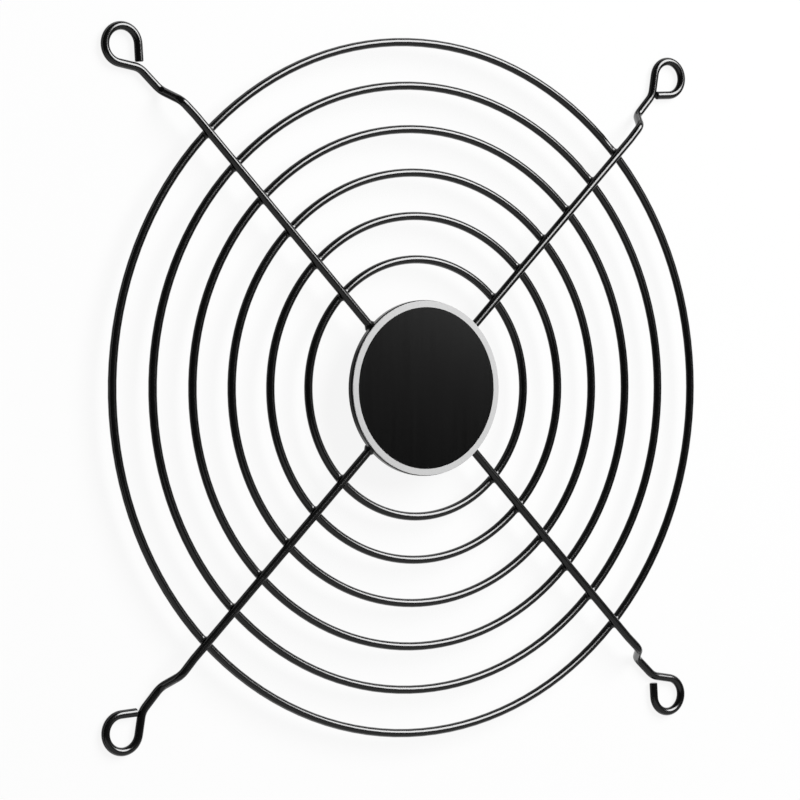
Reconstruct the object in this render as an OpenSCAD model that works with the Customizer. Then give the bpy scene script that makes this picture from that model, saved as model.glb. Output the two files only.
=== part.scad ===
// Wire fan guard: six concentric rings on four radial spokes, each spoke ending in a wire
// screw eye, with a plain round badge on a centre plate.
// All sizes in millimetres. It lies on the backs of its four eyes: z = 0 is the mounting
// plane, +Z points out of the front, +Y towards the top pair of eyes.

/* [Rings] */

// Diameter of the ring wire with its coating
ring_wire = 1.6; // [1.3:0.05:1.9]

// Mean radius of the innermost ring
first_ring_r = 24.5; // [22:0.25:26]

// Radial distance from one ring to the next
ring_pitch = 8.25; // [7.5:0.05:8.5]

/* [Spokes] */

// Diameter of the spoke wire with its coating
spoke_wire = 1.6; // [1.3:0.05:1.9]

// Distance of a spoke's inner end from the guard's axis
spoke_inner_r = 7; // [5:0.5:10]

// How far each spoke is pressed into a ring at its weld
weld_set_down = 0.4; // [0.05:0.01:0.5]

/* [Weld flash] */

// Radius of the flash that fills the corners of a ring and spoke crossing
flash_r = 1.05; // [1:0.05:1.35]

// Height of the flash between the two wires
flash_t = 0.8; // [0.5:0.05:1.2]

// Bevel of the flash's rim
flash_edge = 0.3; // [0.1:0.05:0.35]

/* [Screw eyes] */

// Distance between neighbouring eye centres, both ways
eye_pitch = 124.5; // [120:0.5:126]

// Bore inside the wire of an eye
eye_bore = 5.2; // [4.4:0.1:5.6]

// How far the eyes' wire lies behind the rings' wire, centre to centre
eye_setback = 2.8; // [1.5:0.1:4]

// Half the angle between the two straight legs of an eye
leg_angle = 38.5; // [32:0.5:45]

// How far the eye's centre lies to the side of its spoke's line
eye_aside = 0.45; // [0.2:0.05:0.8]

// How far the eye leans back from its spoke's direction
eye_tilt = 2.5; // [0:0.5:5]

// Centre-line radius of the neck, the bend from the stem into the eye
neck_bend_r = 3.7; // [3:0.1:4.4]

// Space left between a closed eye's tail and the spoke
tail_gap = 0.06; // [0.04:0.02:0.5]

// Space left between the tail and the spoke of the eye that stands open
open_tail_gap = 0.45; // [0.3:0.05:1]

// Edge break on the cut end of a tail
tail_edge = 0.15; // [0.1:0.05:0.4]

/* [Wire bending] */

// How much thinner the wire is drawn in its bends, measured across
bend_draw = 0.01; // [0.006:0.002:0.03]

/* [Stem and set-back bend] */

// Distance from the outermost ring to where a spoke starts to lean aside as its eye's stem
lean_start = 4.1; // [3:0.1:5]

// Centre-line radius of the slight bend where the stem starts
lean_bend_r = 8; // [5:0.5:12]

// Place of the set-back bend on the stem, from its start (0) to the eye's neck (1)
jog_place = 0.42; // [0.3:0.01:0.6]

// Steepness of the set-back bend
jog_angle = 51; // [45:1:60]

// Centre-line radius of the two curves of the set-back bend
jog_bend_r = 2.3; // [1.8:0.1:2.6]

/* [Centre plate] */

// Diameter of the coated plate
plate_d = 33.4; // [31:0.1:36]

// Thickness of the plate
plate_t = 1.1; // [0.9:0.05:1.6]

// Depth of the grooves in the plate's back that the spokes lie in
plate_seat = 0.45; // [0.3:0.05:0.6]

// Edge rounding of the plate
plate_round = 0.12; // [0.05:0.01:0.3]

// How far the weld collars stand out from the spoke at the plate's edge
collar_leg = 0.4; // [0.2:0.05:0.6]

// How far the weld collars reach in under the plate
collar_root = 1.2; // [0.8:0.1:2]

/* [Badge] */

// How far the badge's edge lies inside the plate's edge
badge_inset = 0.1; // [0:0.05:0.5]

// Thickness of the badge
badge_t = 0.5; // [0.3:0.05:1]

// Width of the bright rim round the dark face
badge_rim = 1.25; // [0.8:0.05:2]

// How far the dark face stands up above the rim's inner edge
badge_face_rise = 0.02; // [0.01:0.01:0.1]

// How far the bright rim slopes down from its inner edge to the badge's edge
badge_rim_drop = 0.04; // [0.02:0.01:0.2]

// Edge break of the badge
badge_edge = 0.05; // [0.02:0.01:0.1]

/* [Hidden] */

$fn = 96;

coat = [0.03, 0.03, 0.032];
face_black = [0.06, 0.06, 0.065];
bright = [0.82, 0.82, 0.83];

// heights of the wires' centre lines and of the plate and badge
eye_z = spoke_wire / 2;
ring_z = eye_z + eye_setback;
spoke_z = ring_z + ring_wire / 2 + spoke_wire / 2 - weld_set_down;
plate_z = spoke_z + spoke_wire / 2 - plate_seat;
badge_z = plate_z + plate_t;

// the eye: its centre-line radius, its centre as seen from its spoke, and the corner where
// its legs would meet
eye_r = eye_bore / 2 + spoke_wire / 2;
eye_centre_r = eye_pitch / sqrt(2);
eye_along = sqrt(eye_centre_r * eye_centre_r - eye_aside * eye_aside);
corner_l = eye_r / sin(leg_angle);
corner_x = eye_along - corner_l * cos(eye_tilt);
corner_y = eye_aside + corner_l * sin(eye_tilt);
leg_whole = eye_r / tan(leg_angle);

// the stem: a line from the spoke to the corner, which starts and ends in a bend
lean_x = first_ring_r + 5 * ring_pitch + lean_start;
stem_lean = atan(corner_y / (corner_x - lean_x));
neck_turn = leg_angle - eye_tilt - stem_lean;
lean_lead = lean_bend_r * tan(stem_lean / 2);
neck_lead = neck_bend_r * tan(neck_turn / 2);
bar_l = lean_x - lean_lead - spoke_inner_r;

// the set-back bend: two equal curves with a straight slope between them
jog_drop = spoke_z - eye_z;
jog_slope = (jog_drop - 2 * jog_bend_r * (1 - cos(jog_angle))) / sin(jog_angle);
jog_run = 2 * jog_bend_r * sin(jog_angle) + jog_slope * cos(jog_angle);
jog_room = (corner_x - lean_x) / cos(stem_lean) - lean_lead - neck_lead - jog_run;

// the badge and its dark face
badge_r = plate_d / 2 - badge_inset;
face_r = badge_r - badge_rim;

// directions of the four spokes, round from the top right, which put the eyes on a square
spoke_lag = asin(eye_aside / eye_centre_r);
spoke_angle = [45 - spoke_lag, 135 - spoke_lag, 225 - spoke_lag, 315 - spoke_lag];

// how far a straight stretch of wire runs into the bends at its ends
lap = 0.02;

// straight wire along +X, then whatever follows at its end
module straight(d, l) {
    translate([-lap, 0, 0]) rotate([0, 90, 0]) cylinder(h = l + 2 * lap, d = d);
    translate([l, 0, 0]) children();
}

// wire bent to the left in the XY plane, then whatever follows at its end
module bend_left(d, r, a) {
    translate([0, r, 0]) {
        rotate_extrude(angle = a, start = -90) translate([r, 0]) circle(d = d - bend_draw);
        rotate([0, 0, a]) translate([0, -r, 0]) children();
    }
}

// the same to the right
module bend_right(d, r, a) {
    translate([0, -r, 0]) {
        rotate_extrude(angle = a, start = 90 - a) translate([r, 0]) circle(d = d - bend_draw);
        rotate([0, 0, -a]) translate([0, r, 0]) children();
    }
}

// the next bends lie in a plane turned by a about the wire
module roll(a) {
    rotate([a, 0, 0]) children();
}

// last stretch of a wire, cut square with a broken edge
module tail(d, l, edge) {
    rotate([0, 90, 0]) rotate_extrude() polygon([
        [0, -lap], [d / 2, -lap], [d / 2, l - edge], [d / 2 - edge, l], [0, l]]);
}

// the neck and the eye, from the end of the stem
module eye(gap) {
    // distance from the corner at which the tail's near edge clears the leg by the gap
    stop = (spoke_wire / 2 + gap + spoke_wire / 2 * abs(cos(2 * leg_angle))) / sin(2 * leg_angle);
    bend_left(spoke_wire, neck_bend_r, neck_turn)
    straight(spoke_wire, leg_whole - neck_lead)
    bend_right(spoke_wire, eye_r, 180 + 2 * leg_angle)
    tail(spoke_wire, leg_whole - stop, tail_edge);
}

// one spoke along +X: straight over the rings, a slight lean, down through the set-back bend,
// and the eye
module spoke(gap) {
    translate([spoke_inner_r, 0, spoke_z])
    straight(spoke_wire, bar_l)
    bend_left(spoke_wire, lean_bend_r, stem_lean)
    straight(spoke_wire, jog_place * jog_room)
    roll(90) bend_right(spoke_wire, jog_bend_r, jog_angle)
    straight(spoke_wire, jog_slope)
    bend_left(spoke_wire, jog_bend_r, jog_angle)
    roll(-90)
    straight(spoke_wire, (1 - jog_place) * jog_room)
    eye(gap);
}

// the straight bars of the four spokes, taken out of what they are welded to
module spoke_bars() {
    for (a = spoke_angle)
        rotate([0, 0, a]) translate([spoke_inner_r, 0, spoke_z])
            straight(spoke_wire, bar_l);
}

// weld flash: a small bevelled disc where the two wires touch
module flash() {
    h = flash_t / 2;
    rotate_extrude() polygon([
        [0, -h], [flash_r - flash_edge, -h], [flash_r, flash_edge - h],
        [flash_r, h - flash_edge], [flash_r - flash_edge, h], [0, h]]);
}

// ring number i, counted from the middle, with its four welds
module ring(i) {
    r = first_ring_r + (i - 1) * ring_pitch;
    color(coat) difference() {
        union() {
            translate([0, 0, ring_z]) rotate_extrude($fn = 360)
                translate([r, 0]) circle(d = ring_wire);
            for (a = spoke_angle)
                rotate([0, 0, a])
                    translate([r, 0, ring_z + ring_wire / 2 - weld_set_down / 2]) flash();
        }
        spoke_bars();
    }
}

module spoke_top_right() { color(coat) rotate([0, 0, spoke_angle[0]]) spoke(tail_gap); }
module spoke_top_left() { color(coat) rotate([0, 0, spoke_angle[1]]) spoke(tail_gap); }
module spoke_bottom_left() { color(coat) rotate([0, 0, spoke_angle[2]]) spoke(tail_gap); }
module spoke_bottom_right() { color(coat) rotate([0, 0, spoke_angle[3]]) spoke(open_tail_gap); }

// round plate on the spokes, grooved for them, with a weld collar round each
module centre_plate() {
    pr = plate_d / 2;
    collar_r = spoke_wire / 2 + collar_leg;
    color(coat) difference() {
        union() {
            translate([0, 0, plate_z]) rotate_extrude($fn = 240) polygon([
                [0, 0], [pr - plate_round, 0], [pr, plate_round],
                [pr, plate_t - plate_round], [pr - plate_round, plate_t], [0, plate_t]]);
            for (a = spoke_angle)
                rotate([0, 0, a]) translate([pr - collar_root, 0, spoke_z]) rotate([0, 90, 0])
                    rotate_extrude() polygon([[0, 0], [collar_r, 0],
                        [collar_r, collar_root - collar_leg / 2],
                        [spoke_wire / 2 + plate_round / 2, collar_root + collar_leg],
                        [0, collar_root + collar_leg]]);
        }
        spoke_bars();
        translate([0, 0, badge_z]) cylinder(h = collar_r, r = pr + 2 * collar_r);
    }
}

// one flat disc: a bare dark face, a hair proud of a bright rim that slopes off slightly
module badge() {
    rim_top = badge_t - badge_face_rise;
    rim_low = rim_top - badge_rim_drop;
    translate([0, 0, badge_z]) {
        color(face_black) cylinder(h = badge_t, r = face_r, $fn = 240);
        color(bright) rotate_extrude($fn = 240) polygon([
            [0, 0], [badge_r, 0], [badge_r, rim_low - badge_edge],
            [badge_r - badge_edge, rim_low], [face_r, rim_top], [0, rim_top]]);
    }
}

ring(1);  // ring_1
ring(2);  // ring_2
ring(3);  // ring_3
ring(4);  // ring_4
ring(5);  // ring_5
ring(6);  // ring_6
spoke_top_left();
spoke_top_right();
spoke_bottom_left();
spoke_bottom_right();
centre_plate();
badge();
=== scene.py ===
"""Looks of the wire fan guard: black coated wires with welded crossings, and a disc badge."""
import math

import bmesh
import bpy
import numpy as np
from mathutils import Matrix, Vector


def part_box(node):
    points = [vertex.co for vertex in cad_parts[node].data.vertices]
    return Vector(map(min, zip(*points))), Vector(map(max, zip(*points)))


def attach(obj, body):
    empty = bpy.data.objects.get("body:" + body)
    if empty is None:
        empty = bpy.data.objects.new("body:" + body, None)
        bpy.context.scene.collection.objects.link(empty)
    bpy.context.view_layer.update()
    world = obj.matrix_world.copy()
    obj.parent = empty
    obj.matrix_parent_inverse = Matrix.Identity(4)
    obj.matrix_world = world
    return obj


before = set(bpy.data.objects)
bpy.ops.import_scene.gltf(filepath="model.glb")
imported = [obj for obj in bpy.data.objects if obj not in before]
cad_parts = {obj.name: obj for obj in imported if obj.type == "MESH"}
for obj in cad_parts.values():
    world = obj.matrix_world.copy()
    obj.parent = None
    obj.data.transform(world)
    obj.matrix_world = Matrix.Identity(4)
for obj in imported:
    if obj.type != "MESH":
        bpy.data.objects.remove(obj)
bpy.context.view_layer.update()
scene = bpy.context.scene
scene.view_settings.view_transform = "Standard"

MM = 0.001
WIRE_R = 0.8 * MM         # radius of every wire, its coating included
RINGS = sorted(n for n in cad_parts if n.startswith("ring_"))
SPOKES = sorted(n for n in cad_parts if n.startswith("spoke_"))


def ring_radius(name):
    """Centre-line radius of a ring, which is a whole circle about the z axis."""
    low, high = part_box(name)
    return (high.y - low.y) / 2 - WIRE_R


RINGS_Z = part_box("ring_1")[0].z + WIRE_R                # plane of the rings' centre lines
SPOKES_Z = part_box("spoke_top_right")[1].z - WIRE_R      # and of the spokes' straight bars


# ---------------------------------------------------------------- camera
# The guard lies with its front up. The camera is above it and to its left, and looks down
# at 33 degrees from the guard's axis.
YAW, PITCH = math.radians(33.091), math.radians(0.577)
DISTANCE = 607.81 * MM                       # from the middle of the rings' plane
ASIDE, RAISED = 3.441 * MM, 2.297 * MM       # how far right and up that middle is in view
LENS, SENSOR = 143.49, 36                    # the camera's own millimetres


def set_camera():
    """Camera at the photo's angle to the guard's front, with the same framing."""
    forward = Vector((math.sin(YAW) * math.cos(PITCH), -math.sin(PITCH),
                      -math.cos(YAW) * math.cos(PITCH)))
    right = Vector((math.cos(YAW), 0, math.sin(YAW)))
    up = right.cross(forward)
    middle = Vector((0, 0, RINGS_Z))
    place = middle - DISTANCE * forward - ASIDE * right - RAISED * up
    data = bpy.data.cameras.new("camera")
    data.lens, data.sensor_width = LENS, SENSOR
    data.clip_start, data.clip_end = 0.05, 20
    camera = bpy.data.objects.new("camera", data)
    turn = Matrix((right, up, -forward)).transposed().to_4x4()
    camera.matrix_world = Matrix.Translation(place) @ turn
    scene.collection.objects.link(camera)
    scene.camera = camera


# ---------------------------------------------------------------- node helpers
class Tree:
    """A material's or world's node tree, with short ways to add and join nodes."""

    def __init__(self, owner):
        owner.use_nodes = True
        self.tree = owner.node_tree
        self.tree.nodes.clear()

    def add(self, kind, inputs=None, **settings):
        """A new node, with values or links for its inputs."""
        node = self.tree.nodes.new(kind)
        for name, value in settings.items():
            setattr(node, name, value)
        for name, value in (inputs or {}).items():
            self.put(node.inputs[name], value)
        return node

    def put(self, socket, value):
        """Give an input a constant, or link another node's output to it."""
        if isinstance(value, bpy.types.NodeSocket):
            self.tree.links.new(value, socket)
        else:
            socket.default_value = value

    def math(self, operation, a, b=0.0):
        """The result of an operation on one or two values."""
        node = self.add("ShaderNodeMath", operation=operation)
        self.put(node.inputs[0], a)
        self.put(node.inputs[1], b)
        return node.outputs[0]

    def spread(self, value, low, high, to_low, to_high):
        """A value's range stretched onto another, and held at its ends."""
        node = self.add("ShaderNodeMapRange", {
            "Value": value, "From Min": low, "From Max": high,
            "To Min": to_low, "To Max": to_high})
        return node.outputs["Result"]

    def vary(self, noise, low, high):
        """A value that a noise, which mostly stays between 0.3 and 0.7, moves in a range."""
        return self.spread(noise.outputs["Fac"], 0.3, 0.7, low, high)

    def grey(self, level):
        """A grey whose level is a value of the tree."""
        node = self.add("ShaderNodeCombineColor", {"Red": level, "Green": level, "Blue": level})
        return node.outputs["Color"]

    def output(self, shader, kind="ShaderNodeOutputMaterial"):
        """Make a shader the surface of the material or world."""
        out = self.add(kind)
        self.tree.links.new(shader, out.inputs["Surface"])


def flat(level):
    """A constant grey, for a colour input."""
    return (level, level, level, 1.0)


# ---------------------------------------------------------------- materials
# Painted shade on reflections: the gloss is cut on flanks whose normals point sideways, so they
# mirror little of the bright floor.
UPRIGHT, LYING = 0.38, 0.56        # a face's normal along z, where it counts as one or other
SHADED_FLANK_GLOSS = 0.1                         # share of the gloss left on an upright flank, the rest taken off as painted shade
SIDELONG, GRAZING = 0.50, 0.62     # Layer Weight's facing, where a grazing view takes over


def gloss_with_painted_flank_shade(t, level):
    """Specular level of a black finish, with painted shade that dims reflections on upright
    flanks; bright at a grazing view.
    """
    normal = t.add("ShaderNodeTexCoord").outputs["Normal"]
    lie = t.math("ABSOLUTE", t.add("ShaderNodeSeparateXYZ", {"Vector": normal}).outputs["Z"])
    facing = t.add("ShaderNodeLayerWeight", {"Blend": 0.5}).outputs["Facing"]
    share = t.math("MAXIMUM", t.spread(lie, UPRIGHT, LYING, SHADED_FLANK_GLOSS, 1.0),
                   t.spread(facing, SIDELONG, GRAZING, 0.0, 1.0))
    return t.math("MULTIPLY", share, level)


WELD_ROUGHNESS = 0.30     # what the deepest part of a weld's fillet adds


def coat_material():
    """Gloss black coating with a faint orange peel, and less smooth where it fills a weld."""
    mat = bpy.data.materials.new("gloss_black_coat")
    t = Tree(mat)
    place = t.add("ShaderNodeTexCoord").outputs["Object"]
    peel = t.add("ShaderNodeTexNoise", {"Vector": place, "Scale": 900.0, "Detail": 1.0})
    drift = t.add("ShaderNodeTexNoise", {"Vector": place, "Scale": 160.0, "Detail": 1.0})
    bump = t.add("ShaderNodeBump", {"Height": peel.outputs["Fac"], "Strength": 0.04,
                                    "Distance": 0.02 * MM})
    tone = t.vary(drift, 0.001, 0.003)
    weld = t.add("ShaderNodeAttribute", attribute_name="weld").outputs["Fac"]
    rough = t.math("ADD", t.vary(peel, 0.16, 0.19), t.math("MULTIPLY", weld, WELD_ROUGHNESS))
    # The specular level carries painted shade: reflections dimmed on upright flanks.
    skin = t.add("ShaderNodeBsdfPrincipled", {
        "Base Color": t.grey(tone), "Roughness": rough, "Specular IOR Level": gloss_with_painted_flank_shade(t, 1.0),
        "Normal": bump.outputs["Normal"]})
    t.output(skin.outputs["BSDF"])
    return mat


RIM_WIDTH = 1.25 * MM     # the badge's bright rim, measured in from its edge
RIM_DEPTH = 0.13 * MM     # and down from its top, past its slope and edge break


def badge_material():
    """Aluminium disc: bare black satin face, light matt rim round it, black sides."""
    mat = bpy.data.materials.new("badge_disc")
    t = Tree(mat)
    place = t.add("ShaderNodeTexCoord").outputs["Object"]
    x, y, z = t.add("ShaderNodeSeparateXYZ", {"Vector": place}).outputs
    radius = t.math("SQRT", t.math("ADD", t.math("MULTIPLY", x, x), t.math("MULTIPLY", y, y)))
    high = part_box("badge")[1]
    beyond_face = t.math("GREATER_THAN", radius, high.x - RIM_WIDTH)
    on_top = t.math("GREATER_THAN", z, high.z - RIM_DEPTH)
    rim = t.math("MULTIPLY", beyond_face, on_top)

    stretch = t.add("ShaderNodeMapping", {"Vector": place, "Scale": (1.0, 0.02, 1.0)})
    brush = t.add("ShaderNodeTexNoise", {"Vector": stretch.outputs["Vector"],
                                         "Scale": 3000.0, "Detail": 1.0})
    grain = t.add("ShaderNodeTexNoise", {"Vector": place, "Scale": 9000.0, "Detail": 2.0})
    bump = t.add("ShaderNodeBump", {"Height": brush.outputs["Fac"], "Strength": 0.01,
                                    "Distance": 0.01 * MM})
    fine = t.add("ShaderNodeBump", {"Height": grain.outputs["Fac"], "Strength": 0.4,
                                    "Distance": 0.01 * MM})
    # The face's specular level carries the same painted shade: reflections dimmed on upright
    # flanks.
    black = t.add("ShaderNodeBsdfPrincipled", {
        "Base Color": flat(0.001), "Normal": bump.outputs["Normal"],
        "Specular IOR Level": gloss_with_painted_flank_shade(t, 0.5),
        "Roughness": t.vary(brush, 0.16, 0.18)})
    bare = t.add("ShaderNodeBsdfPrincipled", {
        "Base Color": t.grey(t.vary(grain, 0.60, 0.68)), "Roughness": 0.55,
        "Specular IOR Level": 0.3, "Normal": fine.outputs["Normal"]})
    mix = t.add("ShaderNodeMixShader", {"Fac": rim})
    t.put(mix.inputs[1], black.outputs["BSDF"])
    t.put(mix.inputs[2], bare.outputs["BSDF"])
    t.output(mix.outputs["Shader"])
    return mat


FLOOR_GLOW = 0.90         # share of plain white in what is seen of the floor


def floor_material():
    """Matt white, which the camera and reflections see as paper white with a faint shadow."""
    mat = bpy.data.materials.new("studio_floor")
    t = Tree(mat)
    place = t.add("ShaderNodeTexCoord").outputs["Object"]
    grain = t.add("ShaderNodeTexNoise", {"Vector": place, "Scale": 300.0, "Detail": 2.0})
    matt = t.add("ShaderNodeBsdfPrincipled", {
        "Base Color": t.grey(t.vary(grain, 0.93, 0.95)),
        "Roughness": 0.9, "Specular IOR Level": 0.0})
    white = t.add("ShaderNodeEmission", {"Color": flat(1.0), "Strength": 1.0})
    path = t.add("ShaderNodeLightPath").outputs
    seen = t.math("MAXIMUM", path["Is Camera Ray"],
                  t.math("MAXIMUM", path["Is Glossy Ray"], path["Is Transmission Ray"]))
    mix = t.add("ShaderNodeMixShader", {"Fac": t.math("MULTIPLY", seen, FLOOR_GLOW)})
    t.put(mix.inputs[1], matt.outputs["BSDF"])
    t.put(mix.inputs[2], white.outputs["Emission"])
    t.output(mix.outputs["Shader"])
    return mat


# ---------------------------------------------------------------- floor and light
def set_floor(half=3.0):
    """A plain square floor at z = 0, on which the guard's eyes lie."""
    mesh = bpy.data.meshes.new("floor")
    mesh.from_pydata([(-half, -half, 0), (half, -half, 0), (half, half, 0), (-half, half, 0)],
                     [], [(0, 1, 2, 3)])
    floor = bpy.data.objects.new("floor", mesh)
    scene.collection.objects.link(floor)
    mesh.materials.append(floor_material())


def panel(name, towards, distance, size, radiance, shape="RECTANGLE"):
    """A soft light that faces the guard, at a distance in metres in the given direction."""
    direction = Vector(towards).normalized()
    data = bpy.data.lights.new(name, "AREA")
    data.shape = shape
    data.size, data.size_y = size
    area = size[0] * size[1] * (math.pi / 4 if shape == "ELLIPSE" else 1)
    data.energy = radiance * math.pi * area
    lamp = bpy.data.objects.new(name, data)
    turn = direction.to_track_quat("Z", "Y").to_matrix().to_4x4()
    lamp.matrix_world = Matrix.Translation(direction * distance) @ turn
    scene.collection.objects.link(lamp)


ROOM_LIGHT = 0.03         # even light from all sides, besides the panels' own


def set_light():
    """A key that draws the lines along the wires, a glint for the badge, and a weak fill."""
    world = bpy.data.worlds.new("studio")
    scene.world = world
    t = Tree(world)
    room = t.add("ShaderNodeBackground", {"Color": flat(1.0), "Strength": ROOM_LIGHT})
    t.output(room.outputs["Background"], "ShaderNodeOutputWorld")
    panel("key", (0.485, 0.52, 0.703), 1.2, (0.9, 0.9), 9.6, "ELLIPSE")
    panel("glint", (0.612, 0.161, 0.774), 1.2, (0.34, 0.34), 1.5, "ELLIPSE")
    panel("fill", (0.05, -0.80, 0.60), 1.0, (2.6, 1.3), 0.27)


# ---------------------------------------------------------------- weld fillets
BLEND = 0.6 * MM          # how far apart two surfaces start to flow together
SINK = 0.001 * MM         # the fillet's skin runs this far inside the wires' own skin,
DIVE = 0.04 * MM          # and sinks by this much more on its way from
FADE = 1.5 * MM           # this distance from the crossing's middle
REACH = 2.3 * MM          # to this one, where it ends
STEPS = 120               # places along a ray at which it looks for the skin,
HALVINGS = 12             # and halvings of the last step between two of them
PROBE = 0.001 * MM        # step over which the skin's slope is measured
INNER_END = 15 * MM       # a spoke's points within this radius belong to its straight bar


def flow(p, radius):
    """Signed distance of points to a ring and a bar along +x that flow together, and how
    much they do there: 0 on a bare wire, 1 in the deepest part of the fillet."""
    ring = np.hypot(np.hypot(p[:, 0], p[:, 1]) - radius, p[:, 2] - RINGS_Z) - WIRE_R
    bar = np.hypot(p[:, 1], p[:, 2] - SPOKES_Z) - WIRE_R
    near = np.clip(BLEND - np.abs(ring - bar), 0, None) / BLEND
    return np.minimum(ring, bar) - near * near * BLEND / 4, near


def flow_normals(p, radius):
    """Directions straight out of the flowing surface."""
    offsets = np.eye(3) * PROBE
    slope = [flow(p + d, radius)[0] - flow(p - d, radius)[0] for d in offsets]
    normals = np.stack(slope, axis=1)
    return normals / np.linalg.norm(normals, axis=1)[:, None]


def ball_rays():
    """Directions all round, and the triangles between them."""
    ball = bmesh.new()
    bmesh.ops.create_icosphere(ball, subdivisions=5, radius=1.0)
    rays = np.array([v.co.normalized()[:] for v in ball.verts])
    faces = np.array([[v.index for v in f.verts] for f in ball.faces])
    ball.free()
    return rays, faces


def skin_points(rays, radius):
    """Where rays from the middle of a crossing leave the sunk skin of the two wires."""
    centre = np.array([radius, 0, (RINGS_Z + SPOKES_Z) / 2])

    def inside(reach):
        end = np.clip((reach - FADE) / (REACH - FADE), 0, 1)
        sink = SINK + DIVE * end * end * (3 - 2 * end)
        return flow(centre + rays * reach[:, None], radius)[0] + sink < 0

    low = np.zeros(len(rays))
    going = np.ones(len(rays), bool)
    steps = np.linspace(0, REACH, STEPS)
    for reach in steps[1:]:
        going &= inside(np.full(len(rays), reach))
        low = np.where(going, reach, low)
    high = np.minimum(low + steps[1], REACH)
    for _ in range(HALVINGS):
        middle = (low + high) / 2
        within = inside(middle)
        low, high = np.where(within, middle, low), np.where(within, high, middle)
    return centre + rays * low[:, None]


def turned(points, angle):
    """Points turned about the z axis."""
    c, s = math.cos(angle), math.sin(angle)
    return points @ np.array([[c, s, 0], [-s, c, 0], [0, 0, 1]])


def weld_fillets(ring, angles):
    """The coating's smooth fillets where a ring crosses the spokes, as one piece."""
    radius = ring_radius(ring)
    rays, faces = ball_rays()
    points = skin_points(rays, radius)
    normals, near = flow_normals(points, radius), flow(points, radius)[1]
    verts = np.concatenate([turned(points, a) for a in angles])
    outward = np.concatenate([turned(normals, a) for a in angles])
    polys = np.concatenate([faces + i * len(rays) for i in range(len(angles))])
    mesh = bpy.data.meshes.new("weld_" + ring)
    mesh.from_pydata(verts.tolist(), [], polys.tolist())
    mesh.normals_split_custom_set_from_vertices(outward.tolist())
    share = mesh.attributes.new("weld", "FLOAT", "POINT")
    share.data.foreach_set("value", np.tile(near, len(angles)))
    piece = bpy.data.objects.new("weld_" + ring, mesh)
    scene.collection.objects.link(piece)
    return piece


def spoke_angle(name):
    """Direction of a spoke's straight bar, from the middle of its points near the axis."""
    points = np.array([v.co[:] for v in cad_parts[name].data.vertices])
    inner = points[np.hypot(points[:, 0], points[:, 1]) < INNER_END]
    x, y = inner[:, 0].mean(), inner[:, 1].mean()
    return math.atan2(y, x)


# ---------------------------------------------------------------- the guard
def dress():
    """The finishes of the solids, and the welds' fillets."""
    coat, disc = coat_material(), badge_material()
    for name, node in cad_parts.items():
        node.material_slots[0].material = disc if name == "badge" else coat
    angles = [spoke_angle(name) for name in SPOKES]
    for ring in RINGS:
        weld = weld_fillets(ring, angles)
        weld.data.materials.append(coat)
        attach(weld, "root")


set_camera()
set_floor()
set_light()
dress()
